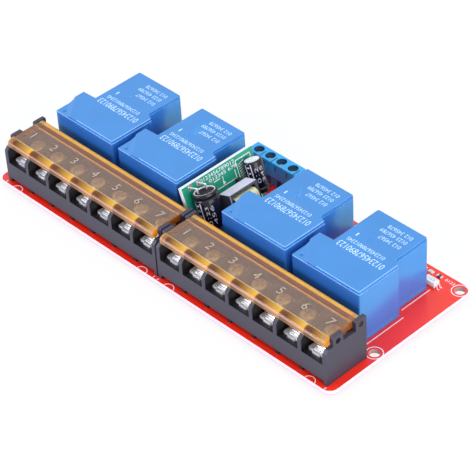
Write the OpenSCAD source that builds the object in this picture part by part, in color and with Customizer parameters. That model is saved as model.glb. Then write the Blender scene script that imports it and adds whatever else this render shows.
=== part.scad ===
// Relay module board: four sealed relays on one printed board, two barrier terminal blocks with
// hinged covers along the front, a small supply board that leans upright between the relays, and
// a screw terminal for the control wires at the rear.
// Millimetres. X runs along the board, Y from the barrier blocks to the rear edge, Z is up.
// The origin is under the middle of the board, level with the ends of the soldered pins.

/* [Main board] */
// Length of the board
board_l = 150; // [149.5:0.5:156]
// Depth of the board from the front edge to the rear edge
board_d = 61.7; // [61.7:0.1:64]
// Thickness of the board
board_t = 1.6; // [1.2:0.2:2]
// Radius of the corners of the board
board_r = 3; // [1:0.5:4]
// Diameter of the mounting holes
hole_d = 3.5; // [3:0.1:4]
// Distance between the mounting holes along the board
hole_span_x = 145; // [144.8:0.1:145]
// Distance between the mounting holes from front to rear
hole_span_y = 37.6; // [37:0.2:38]
// How far the soldered pins reach below the board
tail_l = 1.8; // [1.4:0.2:2.4]

/* [Barrier blocks] */
// Distance from one screw position to the next
pitch = 10; // [9.8:0.1:10]
// Screw positions in each block
positions = 7; // [4:1:7]
// Depth of a block from front to rear
block_d = 16.8; // [16.8:0.1:17.2]
// Thickness of the partitions between the positions
partition_t = 1.5; // [1.2:0.1:1.6]
// Height of the partitions above the board
partition_h = 13.3; // [13:0.1:13.3]
// Height of the floor that the contacts lie on
floor_h = 7.7; // [7.5:0.1:7.7]
// Height of the ears at the ends of a block
ear_h = 16.7; // [16.5:0.1:17.5]
// Gap between the two blocks
block_gap = 0.6; // [0.4:0.1:1]

/* [Covers] */
// Height of the top of a closed cover above the board
cover_h = 16.5; // [16.5:0.1:16.8]
// Thickness of the cover plate
cover_t = 1.4; // [1.2:0.1:1.4]
// Radius of the hinge pips at the ends of a cover
pip_r = 0.95; // [0.8:0.05:0.95]
// Running clearance round a hinge pip
pip_gap = 0.05; // [0.02:0.01:0.09]

/* [Relays] */
// Width of a relay across its front
relay_w = 27.4; // [27:0.1:27.6]
// Depth of a relay
relay_d = 32.2; // [31:0.1:32.2]
// Height of a relay
relay_h = 19.9; // [17:0.1:21]
// Radius of the upright edges of a relay
relay_r = 0.6; // [0.3:0.1:0.8]

/* [Supply board] */
// Length of the supply board
supply_l = 30; // [28:0.5:30]
// Height of the supply board, measured up its face
supply_h = 20; // [19:0.5:20]
// Lean of the supply board away from upright, in degrees
supply_lean = 20; // [15:1:22]

/* [Signal terminal] */
// Distance from one wire entry to the next
signal_pitch = 5.08; // [5:0.01:5.08]
// Height of the terminal
signal_h = 10; // [9.5:0.1:11]

/* [Hidden] */
$fn = 48;

// Heights of the board's faces, and the middle of the pattern of mounting holes
board_top = tail_l + board_t;
hole_mid_y = 9.15;

// Barrier blocks: a block's own axes start at its front left corner on the board
block_l = positions * pitch + partition_t;
block_y = -29.5;
blocks_mid_x = 0.5;
bay_w = pitch - partition_t;
rear_t = 1.5;
rear_h = 12.6;
foot_h = 1.7;
foot_l = 2.4;
foot_set_back = 0.35;
front_chamfer = 1.4;
ear_t = 1.3;
screw_y = 9;
leg_y = 13.9;
leg_size = [1.2, 0.8];
contact_t = 0.8;
clamp_lift = 0.45;
clamp_t = 0.6;
clamp_top = floor_h + contact_t + clamp_lift + clamp_t;
washer_t = 0.6;
head_r = 2.8;
head_h = 2.1;
shank_r = 1.75;

// Cover: the hinge axis and the sections of the plate, the lip and the end skirts
hinge_y = 14.54;
hinge_h = 14.8;
roll_r = cover_h - hinge_h;
cover_under = cover_h - cover_t;
lip_front = 0.6;
lip_back = 2.9;
lip_bottom = 13.7;
cover_gap = 0.1;
cover_l = block_l - 2 * (ear_t + cover_gap);
rim_w = 2.1;
skirt_bottom = 13.9;

// Relays: the left front corner of each, and the outline of the case from that corner
relay_x = [-67.45, -37.45, 9.75, 39.75];
relay_y = -10.2;
neck_x = 5.1;
neck_w = 19.9;
key_t = 0.45;
plateau_inset = 0.45;
plateau_h = 0.7;
corner_turn = 39.3;
corner_flat = 3.8;
corner_slope = 1.6;
relay_outline = [[0, 0], [relay_w, 0], [relay_w, 17.2], [neck_x + neck_w, 17.9],
                 [neck_x + neck_w, relay_d], [neck_x, relay_d], [neck_x, 12.8],
                 [-key_t, 12.5], [-key_t, 8.3], [0, 7.9]];
relay_radii = [relay_r, relay_r, 0.4, 0, relay_r, relay_r, 0, 0, 0, 0];
base_outline = [[1.2, 1.2], [relay_w - 1.2, 1.2], [relay_w - 1.2, 16], [neck_x + neck_w - 1.2, 16],
                [neck_x + neck_w - 1.2, relay_d - 1.2], [neck_x + 1.2, relay_d - 1.2],
                [neck_x + 1.2, 11.5], [1.2, 11.5]];
base_h = 1.4;
blade_size = [1.6, 0.8];
blade_at = [[4.5, 5.5], [22.9, 5.5], [13.7, 9.5]];
coil_pin_at = [[9, 28.4], [21, 28.4]];
coil_pin_r = 0.5;

// Signal terminal: left end, front face and the middles of its four ways
signal_x = -15.9;
signal_y = 25.6;
signal_d = 5.1;
signal_l = 4 * signal_pitch + 0.68;
signal_way = [for (i = [0 : 3]) 2.96 + i * signal_pitch];
signal_hole_y = 2.5;
signal_pin_r = 0.5;

// Supply board: its own axes start at the foot of its component face. X leaves that face,
// Y runs along the board and Z climbs the face.
supply_x = 0.28;
supply_y = -11.3;
supply_t = 1.6;
supply_foot = 0.4 + supply_t * sin(supply_lean);
supply_pin_w = 0.64;
supply_pin_y = [-9.4, -4.4, 13.9, 16.4];
supply_bend = 0.3;
supply_pin_x = supply_x + supply_bend * sin(supply_lean) + supply_pin_w / 2;
input_cap = [4.2, -6.2];
input_cap_r = 4;
input_cap_top = 17.6;
input_cap_l = 12;
input_lead_x = 3.2;
input_lead_z = 18.8;
input_lead_y = [input_cap.y - 1.75, input_cap.y + 1.75];
output_cap = [3.4, 14.9];
output_cap_r = 3.15;
output_cap_top = 17.5;
output_cap_l = 11;
output_lead_z = 5.4;
output_lead_y = [output_cap.y - 1.25, output_cap.y + 1.25];
lead_r = 0.3;

// Transformer on the supply board: the core's box, and the window round its middle leg
core_x = 4;
core_w = 5.1;
core_y = -1.4;
core_l = 11.7;
core_z = 3.1;
core_h = 10.5;
leg_t = 0.8;
yoke_t = 1;
mid_leg_h = 2.8;
core_mid_z = core_z + core_h / 2;
window_y = core_y + yoke_t;
window_l = core_l - 2 * yoke_t;
tube_t = 0.4;
flange_t = 0.4;
coil_w = 8.1;
coil_h = 6.8;
rail_h = 3;
trafo_pin_y = [core_y + 0.8, core_y + core_l - 0.8];
trafo_pin_z = [for (i = [0 : 3]) 4.6 + i * 2.5];

// Small parts behind each relay; those of the second relay sit further left, clear of the terminal
driver_x = [for (i = [0 : 3]) relay_x[i] - (i == 1 ? 6 : 0)];
opto_at = [24.35, 24.45];
opto_size = [4.4, 2.6, 2];
transistor_at = [13.5, 25.2];
diode_at = [8, 25.6];
chip_at = [[17.9, 28.5], [20.8, 28.4], [24.1, 28.6]];
led_chip = 1;

// Every pin that passes through the main board
contact_pins = [for (side = [-1, 1]) for (i = [0 : positions - 1])
    [block_x(side) + partition_t + bay_w / 2 + i * pitch, block_y + leg_y]];
blade_pins = [for (x = relay_x) for (p = blade_at) [x, relay_y] + p];
coil_pins = [for (x = relay_x) for (p = coil_pin_at) [x, relay_y] + p];
signal_pins_at = [for (x = signal_way) [signal_x + x, signal_y + signal_hole_y]];
supply_pins_at = [for (y = supply_pin_y) [supply_pin_x, y]];

// Left end of the block on one side
function block_x(side) = blocks_mid_x + (side > 0 ? block_gap / 2 : -block_gap / 2 - block_l);

// Unit vector from a to b
function toward(a, b) = (b - a) / norm(b - a);

// Points of the arc of radius r that rounds corner p between its neighbours a and b
function corner_arc(a, p, b, r, steps = 6) =
    let (u = toward(p, a),
         v = toward(p, b),
         half = acos(u * v) / 2,
         centre = p + toward([0, 0], u + v) * r / sin(half),
         start = p + u * r / tan(half) - centre,
         turn = (cross(u, v) > 0 ? -1 : 1) * (180 - 2 * half))
    [for (i = [0 : steps]) let (t = turn * i / steps)
        centre + [start.x * cos(t) - start.y * sin(t), start.x * sin(t) + start.y * cos(t)]];

// Outline with each corner rounded to its own radius; a radius of 0 leaves the corner sharp
function rounded(points, radii) =
    let (n = len(points))
    [for (i = [0 : n - 1])
        each (radii[i] > 0
            ? corner_arc(points[(i + n - 1) % n], points[i], points[(i + 1) % n], radii[i])
            : [points[i]])];

// Rounded rectangle with its corner at the origin
module rounded_rect(size, r)
    polygon(rounded([[0, 0], [size.x, 0], size, [0, size.y]], [r, r, r, r]));

// Outline in Y and Z drawn out along X
module along_x(length) rotate([90, 0, 90]) linear_extrude(length) children();

// Outline in X and Z drawn out along Y
module along_y(length) translate([0, length, 0]) rotate([90, 0, 0]) linear_extrude(length) children();

// Round wire through a list of points
module wire(points, r) {
    for (i = [0 : len(points) - 2]) {
        run = points[i + 1] - points[i];
        translate(points[i])
            rotate([0, acos(run.z / norm(run)), atan2(run.y, run.x)])
            cylinder(h = norm(run), r = r, $fn = 24);
    }
    for (i = [1 : 1 : len(points) - 2])
        translate(points[i]) sphere(r, $fn = 24);
}

// Flat lead of a surface-mounted part, bent down from a side at x = 0 to the board at z = 0
module gull_lead(reach, width, rise, t = 0.2)
    translate([0, -width / 2, 0])
    along_y(width)
    polygon([[0, rise], [reach * 0.3, rise], [reach * 0.45, 0], [reach, 0], [reach, t],
             [reach * 0.45 + t, t], [reach * 0.3 + t, rise + t], [0, rise + t]]);

// Places children on the main board's top face
module on_board(x, y) translate([x, y, board_top]) children();

// Places children in a block's own axes
module on_block(side) on_board(block_x(side), block_y) children();

// Places children once at the middle of each screw position of a block
module at_positions(side)
    for (i = [0 : positions - 1])
        on_block(side) translate([partition_t + bay_w / 2 + i * pitch, 0, 0]) children();

// Places children in the supply board's own axes
module on_supply() on_board(supply_x, 0) translate([0, 0, supply_foot]) rotate([0, -supply_lean, 0])
    children();

// Places children beside each relay's own small parts
module at_drivers() for (x = driver_x) on_board(x, 0) children();

module main_board()
    color("#e8382c")
    difference() {
        translate([-board_l / 2, -board_d / 2, tail_l])
            linear_extrude(board_t) rounded_rect([board_l, board_d], board_r);
        for (sx = [-1, 1], sy = [-1, 1])
            translate([sx * hole_span_x / 2, hole_mid_y + sy * hole_span_y / 2, 0])
            cylinder(h = 10, d = hole_d);
        drill(contact_pins, 0.85);
        drill(blade_pins, 1);
        drill(coil_pins, coil_pin_r + 0.15);
        drill(signal_pins_at, signal_pin_r + 0.15);
        drill(supply_pins_at, supply_pin_w / 2 + 0.15);
    }

// Holes through the main board
module drill(points, r)
    for (p = points) translate([p.x, p.y, 0]) cylinder(h = 10, r = r, $fn = 24);

// Moulded barrier block: open bays in front, a low wall at the rear, ears for the cover at the ends
module barrier_housing(side)
    color("#45434b")
    on_block(side)
    difference() {
        union() {
            along_x(block_l) polygon(block_profile());
            for (x = [0, block_l - ear_t])
                translate([x, 0, 0]) along_x(ear_t) polygon(ear_profile());
            for (i = [0 : positions], y = [foot_set_back, block_d - foot_l])
                translate([i * pitch, y, 0]) cube([partition_t, foot_l, foot_h + 0.2]);
        }
        for (i = [0 : positions - 1])
            translate([partition_t + i * pitch, 0, 0]) bay();
        for (x = [-1, block_l - ear_t - 1])
            translate([x, 0, 0]) rotate([0, 90, 0]) ear_holes();
    }

// Cut for one bay, with the blind hole for the screw and the slot for the contact's leg
module bay() {
    translate([0, -1, floor_h]) cube([bay_w, block_d - rear_t + 1, 20]);
    translate([bay_w / 2, screw_y, 2.4]) cylinder(h = 6, r = shank_r + 0.15);
    translate([(bay_w - leg_size.x) / 2 - 0.1, leg_y - leg_size.y / 2 - 0.1, -1])
        cube([leg_size.x + 0.2, leg_size.y + 0.2, floor_h + 2]);
}

// The two holes in an ear, drawn along Z and turned to run along X
module ear_holes() {
    translate([-hinge_h, hinge_y, 0]) cylinder(h = ear_t + 2, r = pip_r + pip_gap);
    translate([-14.6, 5.1, 0]) cylinder(h = ear_t + 2, r = 1);
}

// Section of a block between its ends
function block_profile() = rounded(
    [[0, foot_h], [block_d, foot_h], [block_d, rear_h], [12.1, rear_h], [12.1, partition_h],
     [front_chamfer, partition_h], [0, partition_h - front_chamfer]],
    [0, 0, 0.3, 0, 0.3, 0.3, 0.3]);

// Outline of an end wall with its shoulder, its two ears and the notch between them
function ear_profile() = rounded(
    [[0, foot_h], [block_d, foot_h], [block_d, ear_h], [12.4, ear_h], [12.4, 13.2], [7.2, 13.2],
     [7.2, ear_h], [3, ear_h], [3, partition_h + 0.1], [1.2, partition_h + 0.1], [0, 12.2]],
    [0, 0, 0.4, 0.4, 0.2, 0.2, 0.4, 0.5, 0.2, 0.3, 0.3]);

// Translucent cover: a plate with a rolled hinge edge, a rounded lip, end skirts and two pips
module barrier_cover(side)
    color("#d8923a", 0.7)
    on_block(side) {
        difference() {
            translate([ear_t + cover_gap, 0, 0]) along_x(cover_l) polygon(cover_profile());
            translate([ear_t + cover_gap + rim_w, lip_back + 0.3, cover_h - 0.2])
                cube([cover_l - 2 * rim_w, 8.9, 1]);
        }
        for (x = [ear_t + cover_gap, block_l - ear_t - cover_gap - 1])
            translate([x, lip_back + 0.4, skirt_bottom])
            cube([1, hinge_y - lip_back - 0.4, cover_under - skirt_bottom + 0.1]);
        for (x = [0.2, block_l - ear_t - cover_gap - 0.3])
            translate([x, hinge_y, hinge_h]) rotate([0, 90, 0])
            cylinder(h = ear_t + cover_gap + 0.1, r = pip_r);
    }

// Section of a cover: lip at the front, plate, and the roll round the hinge axis
function cover_profile() = rounded(
    [[lip_front, lip_bottom], [lip_back, lip_bottom], [lip_back, cover_under],
     [hinge_y - roll_r, cover_under], [hinge_y - roll_r, hinge_h - roll_r],
     [hinge_y + roll_r, hinge_h - roll_r], [hinge_y + roll_r, cover_h], [lip_front, cover_h]],
    [0.6, 0.3, 0.4, 0.2, roll_r - 0.05, roll_r - 0.05, roll_r - 0.05, 1.5]);

// Contact plate with a narrow tongue in front and a leg down through the block and the board
module barrier_contacts(side)
    color("#d9dade")
    at_positions(side)
    difference() {
        union() {
            translate([0, 0, floor_h]) linear_extrude(contact_t) polygon(rounded(
                [[-1.6, 1.6], [1.6, 1.6], [1.6, 2.1], [3.6, 2.1], [3.6, 14.3], [-3.6, 14.3],
                 [-3.6, 2.1], [-1.6, 2.1]],
                [0.3, 0.3, 0, 0.4, 0.3, 0.3, 0.4, 0]));
            translate([-leg_size.x / 2, leg_y - leg_size.y / 2, -board_top])
                cube([leg_size.x, leg_size.y, board_top + floor_h + 0.2]);
        }
        translate([0, screw_y, floor_h - 1]) cylinder(h = 3, r = shank_r + 0.05);
    }

// Formed clamp plate: its narrow ribbed nose slopes down to the contact, the rest is held up on it
module barrier_clamps(side)
    color("#c9cace")
    at_positions(side)
    difference() {
        union() {
            translate([-1.6, 0, floor_h + contact_t]) along_x(3.2)
                polygon([[2.7, 0], [3.5, 0], [4.5, clamp_lift], [6, clamp_lift],
                         [6, clamp_lift + clamp_t], [4.35, clamp_lift + clamp_t], [4.2, 0.8],
                         [3.8, 0.8], [3.65, 0.55], [3.25, 0.55], [3.1, 0.3], [2.7, 0.3]]);
            translate([-3.5, 4.4, clamp_top - clamp_t]) linear_extrude(clamp_t)
                rounded_rect([7, 8.8], 0.6);
            for (x = [-3.5, 2.8])
                translate([x, 7.4, floor_h + contact_t]) cube([0.7, 3.2, clamp_lift + 0.2]);
        }
        translate([0, screw_y, floor_h]) cylinder(h = 4, r = shank_r + 0.1);
    }

// Split spring washers under the screw heads
module barrier_washers(side)
    color("#bfc0c4")
    at_positions(side)
    translate([0, screw_y, clamp_top])
    difference() {
        cylinder(h = washer_t, r = 3.05);
        translate([0, 0, -1]) cylinder(h = 3, r = shank_r + 0.1);
        translate([2.4, -2.2, washer_t / 2]) rotate([30, 0, 0]) cube([3, 0.4, 4], center = true);
    }

// Pan head screws with a cross recess
module barrier_screws(side)
    color("#e2e2e4")
    at_positions(side)
    translate([0, screw_y, clamp_top + washer_t])
    difference() {
        union() {
            rotate_extrude() polygon(rounded(
                [[0, 0], [head_r, 0], [head_r, head_h], [0, head_h]], [0, 0.2, 1, 0]));
            translate([0, 0, -6.6]) cylinder(h = 6.7, r = shank_r);
        }
        for (a = [0, 90])
            rotate([0, 0, a]) translate([0, 0, head_h]) cube([3.6, 0.9, 2.2], center = true);
    }

// Plan of a relay case
module relay_plan() polygon(rounded(relay_outline, relay_radii));

// Relay case: stepped plan, and a raised plateau on top that leaves a ledge along the front and the
// right side and slopes down to a corner with a pit
module relay_case(i)
    color("#3f8fe0")
    on_board(relay_x[i], relay_y)
    difference() {
        union() {
            translate([0, 0, 0.2]) linear_extrude(relay_h - plateau_h - 0.2) relay_plan();
            translate([0, 0, 1]) linear_extrude(relay_h - 1)
                intersection() {
                    relay_plan();
                    translate([-plateau_inset, plateau_inset]) relay_plan();
                }
        }
        linear_extrude(base_h) polygon(base_outline);
        translate([0, 0, relay_h]) rotate([0, 0, corner_turn]) translate([0, -9, 0]) along_y(18)
            polygon([[-3, -plateau_h], [corner_flat, -plateau_h], [corner_flat + corner_slope, 0],
                     [corner_flat + corner_slope, 1], [-3, 1]]);
        translate([2.3, 1.9, relay_h - plateau_h - 0.3]) cylinder(h = 2, r = 0.6, $fn = 24);
        translate([13.2, 19.7, relay_h - 0.15]) cylinder(h = 2, r = 1.1, $fn = 32);
    }

// Base that closes the case and stands on the board
module relay_base(i)
    color("#26262b")
    on_board(relay_x[i], relay_y) linear_extrude(base_h) polygon(base_outline);

module relay_pins()
    color("#d4d4d8") {
        for (p = blade_pins)
            translate([p.x - blade_size.x / 2, p.y - blade_size.y / 2, 0])
            cube([blade_size.x, blade_size.y, board_top]);
        for (p = coil_pins)
            translate([p.x, p.y, 0]) cylinder(h = board_top, r = coil_pin_r, $fn = 24);
    }

// Four-way terminal: screw holes on top, wire entries at the rear, slits in the front face
module signal_housing()
    color("#2f9fdc")
    on_board(signal_x, signal_y)
    difference() {
        along_x(signal_l) polygon(rounded(
            [[1.1, 0], [signal_d, 0], [signal_d, signal_h], [0, signal_h], [0, 4], [1.1, 2.6]],
            [0, 0, 0.3, 0.3, 0.8, 0.5]));
        for (x = signal_way) {
            translate([x - 1.9, 1.2, 1.2]) cube([3.8, signal_d, 4.6]);
            translate([x, signal_hole_y, 5]) cylinder(h = 10, r = 1.75);
            translate([x, signal_hole_y, -1]) cylinder(h = 4, r = signal_pin_r + 0.1, $fn = 24);
            translate([x - 0.9, -1, 6.9]) cube([0.5, 1.4, 2.1]);
        }
        for (x = [signal_way[0], signal_way[1]])
            translate([x + signal_pitch / 2 - 0.18, -1, signal_h - 0.6]) cube([0.36, 4, 2]);
        translate([signal_way[3] + signal_pitch / 2 - 0.4, -1, signal_h - 0.6]) cube([0.36, 4, 2]);
    }

module signal_screws()
    color("#dcdce0")
    for (p = signal_pins_at)
        on_board(p.x, p.y)
        difference() {
            union() {
                translate([0, 0, 5.9]) cylinder(h = 1.9, r = 1.6, $fn = 32);
                translate([0, 0, 2.6]) cylinder(h = 3.4, r = 1.2, $fn = 32);
            }
            translate([0, 0, 7.6]) cube([4, 0.5, 1.4], center = true);
        }

// Wire cages under the screws, open towards the wire entries
module signal_clamps()
    color("#c8c8cc")
    for (p = signal_pins_at)
        on_board(p.x, p.y)
        difference() {
            translate([-1.75, -1, 1.2]) cube([3.5, 3, 4.2]);
            translate([-1.2, -2, 1.8]) cube([2.4, 5, 3]);
            translate([0, 0, 4]) cylinder(h = 3, r = 1.25, $fn = 32);
        }

module signal_pins()
    color("#d4d4d8")
    for (p = signal_pins_at)
        translate([p.x, p.y, 0]) cylinder(h = board_top + 1.2, r = signal_pin_r, $fn = 24);

// Supply board with the holes for the leads and pins that pass through it
module supply_board()
    color("#0f8a5a")
    on_supply()
    difference() {
        translate([-supply_t, supply_y, 0]) cube([supply_t, supply_l, supply_h]);
        for (y = input_lead_y) translate([-3, y, input_lead_z]) cross_hole();
        for (y = output_lead_y) translate([-3, y, output_lead_z]) cross_hole();
        for (y = trafo_pin_y, z = trafo_pin_z) translate([-3, y, z]) cross_hole();
    }

// Hole along X for a lead
module cross_hole() rotate([0, 90, 0]) cylinder(h = 6, r = lead_r + 0.15, $fn = 24);

// Point in X and Z that lies out from the supply board's component face and up along it
function supply_point(out, up) =
    [supply_x + out * cos(supply_lean) - up * sin(supply_lean),
     board_top + supply_foot + out * sin(supply_lean) + up * cos(supply_lean)];

// Square pins that run down the face of the supply board and turn straight into the main board
module supply_pins()
    color("#d4d4d8")
    for (y = supply_pin_y) {
        w = supply_pin_w;
        outer_bend = (supply_x + w * cos(supply_lean) - supply_pin_x - w / 2) / sin(supply_lean);
        translate([0, y - w / 2, 0]) along_y(w) polygon(
            [[supply_pin_x - w / 2, 0], [supply_pin_x + w / 2, 0], supply_point(w, outer_bend),
             supply_point(w, 4), supply_point(0, 4), supply_point(0, -supply_bend)]);
    }

// Aluminium can with a groove near the end that its rubber bung closes
module can(r, length, bung_up)
    rotate_extrude(angle = 360) polygon(rounded(
        bung_up
            ? [[0, 0], [r, 0], [r, length - 2.4], [r - 0.4, length - 1.9], [r, length - 1.4],
               [r, length - 0.3], [r - 0.6, length], [r - 0.7, length - 0.5], [0, length - 0.5]]
            : [[0, 0.5], [r - 0.7, 0.5], [r - 0.6, 0], [r, 0.3], [r, 1.4], [r - 0.4, 1.9],
               [r, 2.4], [r, length], [0, length]],
        bung_up ? [0, 0.3, 0.3, 0.3, 0.3, 0.2, 0, 0, 0] : [0, 0, 0, 0.2, 0.3, 0.3, 0.3, 0.3, 0]));

module input_capacitor()
    color("#2a2a30")
    on_supply() translate([input_cap.x, input_cap.y, input_cap_top - input_cap_l])
    can(input_cap_r, input_cap_l, true);

// Two leads that leave the top of the can and bend over to the supply board
module input_capacitor_leads()
    color("#dadade")
    on_supply()
    for (y = input_lead_y)
        wire([[input_lead_x, y, input_cap_top - 0.5], [input_lead_x, y, input_lead_z],
              [-2.1, y, input_lead_z]], lead_r);

module output_capacitor()
    color("#303038")
    on_supply() translate([output_cap.x, output_cap.y, output_cap_top - output_cap_l])
    can(output_cap_r, output_cap_l, false);

module output_capacitor_leads()
    color("#dadade")
    on_supply()
    for (y = output_lead_y)
        wire([[output_cap.x, y, output_cap_top - output_cap_l + 0.5],
              [output_cap.x, y, output_lead_z], [-2.1, y, output_lead_z]], lead_r);

// Ferrite core: two outer legs, a middle leg and the yokes that join their ends
module transformer_core()
    color("#8b8b92")
    on_supply()
    difference() {
        translate([core_x, core_y, core_z]) cube([core_w, core_l, core_h]);
        for (z = [core_z + leg_t, core_mid_z + mid_leg_h / 2])
            translate([core_x - 1, window_y, z])
            cube([core_w + 2, window_l, core_h / 2 - leg_t - mid_leg_h / 2]);
    }

// Rounded section round the middle leg, drawn out along Y
module coil_section(grow, y, length)
    translate([core_x + core_w / 2 - coil_w / 2 - grow, y, core_mid_z - coil_h / 2 - grow])
    along_y(length) rounded_rect([coil_w + 2 * grow, coil_h + 2 * grow], 2.4);

// Box round the middle leg, drawn out along Y
module leg_box(grow, y, length)
    translate([core_x - grow, y, core_mid_z - mid_leg_h / 2 - grow])
    cube([core_w + 2 * grow, length, mid_leg_h + 2 * grow]);

// Bobbin: a tube on the middle leg, a flange at each end and the rails that hold the pins
module transformer_bobbin()
    color("#2b2a2e")
    on_supply()
    difference() {
        union() {
            leg_box(tube_t, window_y, window_l);
            for (y = [window_y, window_y + window_l - flange_t]) coil_section(0.1, y, flange_t);
            for (y = [core_y, window_y + window_l - flange_t])
                translate([0, y, 3.6]) cube([rail_h, yoke_t + flange_t, 9.6]);
        }
        leg_box(0, window_y - 1, window_l + 2);
        for (y = trafo_pin_y, z = trafo_pin_z) trafo_pin(y, z);
    }

module transformer_winding()
    color("#e8dc8c")
    on_supply()
    difference() {
        coil_section(0, window_y + flange_t, window_l - 2 * flange_t);
        leg_box(tube_t, window_y, window_l);
    }

module transformer_pins()
    color("#dadade")
    on_supply()
    for (y = trafo_pin_y, z = trafo_pin_z) trafo_pin(y, z);

// Round pin from a bobbin rail back through the supply board
module trafo_pin(y, z)
    translate([-2.1, y, z]) rotate([0, 90, 0]) cylinder(h = 3.6, r = lead_r, $fn = 24);

// Parts on the rear face of the supply board
module supply_controller()
    color("#232327")
    on_supply() translate([-supply_t - 1.5, 2.6, 6.4]) cube([1.4, 3.9, 4.9]);

module supply_rectifier()
    color("#232327")
    on_supply() translate([-supply_t - 2.5, -8.2, 8]) cube([2.4, 3.9, 4.7]);

// Leads of the two parts on the rear face: the board is their floor
module supply_chip_leads()
    color("#dadade")
    on_supply()
    for (m = [0, 1]) {
        for (z = [7 : 1.27 : 11])
            rear_lead(4.55, z, m, 1.95, 0.4, 1);
        for (z = [9.1, 11.6])
            rear_lead(-6.25, z, m, 1.95, 0.6, 1.4);
    }

// Lead on the rear face: y is the middle of the part, half its half width, flip picks the side
module rear_lead(y, z, flip, half, width, reach)
    translate([-supply_t, y, z])
    mirror([0, flip, 0]) translate([0, half, 0])
    rotate([-90, 0, 90]) gull_lead(reach, width, 0.6);

module optocoupler_bodies()
    color("#e9e6df")
    at_drivers() translate([opto_at.x - opto_size.x / 2, opto_at.y - opto_size.y / 2, 0.1])
    along_x(opto_size.x)
    polygon([[0.25, 0], [opto_size.y - 0.25, 0], [opto_size.y, 0.9], [opto_size.y - 0.1, opto_size.z],
             [0.1, opto_size.z], [0, 0.9]]);

module optocoupler_leads()
    color("#dadade")
    at_drivers()
    for (m = [0, 1], y = [-0.635, 0.635])
        translate([opto_at.x, opto_at.y + y, 0]) mirror([m, 0, 0])
        translate([opto_size.x / 2, 0, 0]) gull_lead(1.5, 0.4, 0.9);

module driver_transistors()
    color("#232327")
    at_drivers() translate([transistor_at.x - 1.45, transistor_at.y - 0.65, 0.1])
    cube([2.9, 1.3, 1]);

module transistor_leads()
    color("#dadade")
    at_drivers() {
        for (x = [-0.95, 0.95])
            translate([transistor_at.x + x, transistor_at.y - 0.65, 0])
            rotate([0, 0, -90]) gull_lead(0.6, 0.4, 0.4, 0.12);
        translate([transistor_at.x, transistor_at.y + 0.65, 0])
            rotate([0, 0, 90]) gull_lead(0.6, 0.4, 0.4, 0.12);
    }

module flyback_diodes()
    color("#232327")
    at_drivers() translate([diode_at.x - 2.15, diode_at.y - 1.3, 0.2]) cube([4.3, 2.6, 2]);

// Straps at the ends of each diode, turned in under its body
module diode_leads()
    color("#dadade")
    at_drivers()
    for (m = [0, 1])
        translate([diode_at.x, diode_at.y - 0.7, 0]) mirror([m, 0, 0])
        along_y(1.4)
        polygon([[1.2, 0], [2.35, 0], [2.35, 1.2], [2.15, 1.2], [2.15, 0.2], [1.2, 0.2]]);

// Ceramic bodies of the chip resistors
module chip_resistors()
    color("#1d1d20")
    at_drivers()
    for (i = [0, 2]) translate([chip_at[i].x - 0.6, chip_at[i].y - 0.62, 0.02])
        cube([1.2, 1.24, 0.5]);

// Clear bodies of the status lights
module status_leds()
    color("#f3efd9")
    at_drivers()
    translate([chip_at[led_chip].x - 0.6, chip_at[led_chip].y - 0.62, 0.02]) cube([1.2, 1.24, 0.75]);

// Metal ends of the resistors and the status lights
module chip_ends()
    color("#dedee2")
    at_drivers()
    for (p = chip_at, x = [-1, 0.6])
        translate([p.x + x, p.y - 0.62, 0]) cube([0.4, 1.24, 0.55]);

// Cone of solder round each pin under the main board, and behind the supply board
module solder_joints()
    color("#c4c6cc") {
        for (p = contact_pins) solder_cone(p, 1.9, 0.85, 1)
            cube([leg_size.x, leg_size.y, 9], center = true);
        for (p = blade_pins) solder_cone(p, 2, 1, 1)
            cube([blade_size.x, blade_size.y, 9], center = true);
        for (p = coil_pins) solder_cone(p, 1.4, 0.6, 1)
            cylinder(h = 9, r = coil_pin_r, center = true, $fn = 24);
        for (p = signal_pins_at) solder_cone(p, 1.3, 0.6, 1)
            cylinder(h = 9, r = signal_pin_r, center = true, $fn = 24);
        for (p = supply_pins_at) solder_cone(p, 1.1, 0.45, 1)
            cube([supply_pin_w, supply_pin_w, 9], center = true);
        for (y = input_lead_y) rear_joint(y, input_lead_z);
        for (y = output_lead_y) rear_joint(y, output_lead_z);
        for (y = trafo_pin_y, z = trafo_pin_z) rear_joint(y, z);
    }

// Solder round a lead on the rear face of the supply board
module rear_joint(y, z)
    on_supply() translate([-supply_t, y, z]) rotate([0, -90, 0])
    difference() {
        cylinder(h = 0.45, r1 = 0.85, r2 = 0.4, $fn = 24);
        cylinder(h = 3, r = lead_r, center = true, $fn = 24);
    }

// Cone from a wide ring on the board down to a narrow one; the children are the pin's section
module solder_cone(p, pad_r, tip_r, h)
    translate([p.x, p.y, tail_l - h])
    difference() {
        cylinder(h = h, r1 = tip_r, r2 = pad_r, $fn = 32);
        children();
    }

main_board();
barrier_housing(-1);  // barrier_housing_left
barrier_housing(1);  // barrier_housing_right
barrier_cover(-1);  // barrier_cover_left
barrier_cover(1);  // barrier_cover_right
barrier_contacts(-1);  // barrier_contacts_left
barrier_contacts(1);  // barrier_contacts_right
barrier_clamps(-1);  // barrier_clamps_left
barrier_clamps(1);  // barrier_clamps_right
barrier_washers(-1);  // barrier_washers_left
barrier_washers(1);  // barrier_washers_right
barrier_screws(-1);  // barrier_screws_left
barrier_screws(1);  // barrier_screws_right
relay_case(0);  // relay_case_1
relay_case(1);  // relay_case_2
relay_case(2);  // relay_case_3
relay_case(3);  // relay_case_4
relay_base(0);  // relay_base_1
relay_base(1);  // relay_base_2
relay_base(2);  // relay_base_3
relay_base(3);  // relay_base_4
relay_pins();
signal_housing();
signal_screws();
signal_clamps();
signal_pins();
supply_board();
supply_pins();
input_capacitor();
input_capacitor_leads();
output_capacitor();
output_capacitor_leads();
transformer_core();
transformer_bobbin();
transformer_winding();
transformer_pins();
supply_controller();
supply_rectifier();
supply_chip_leads();
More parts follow.
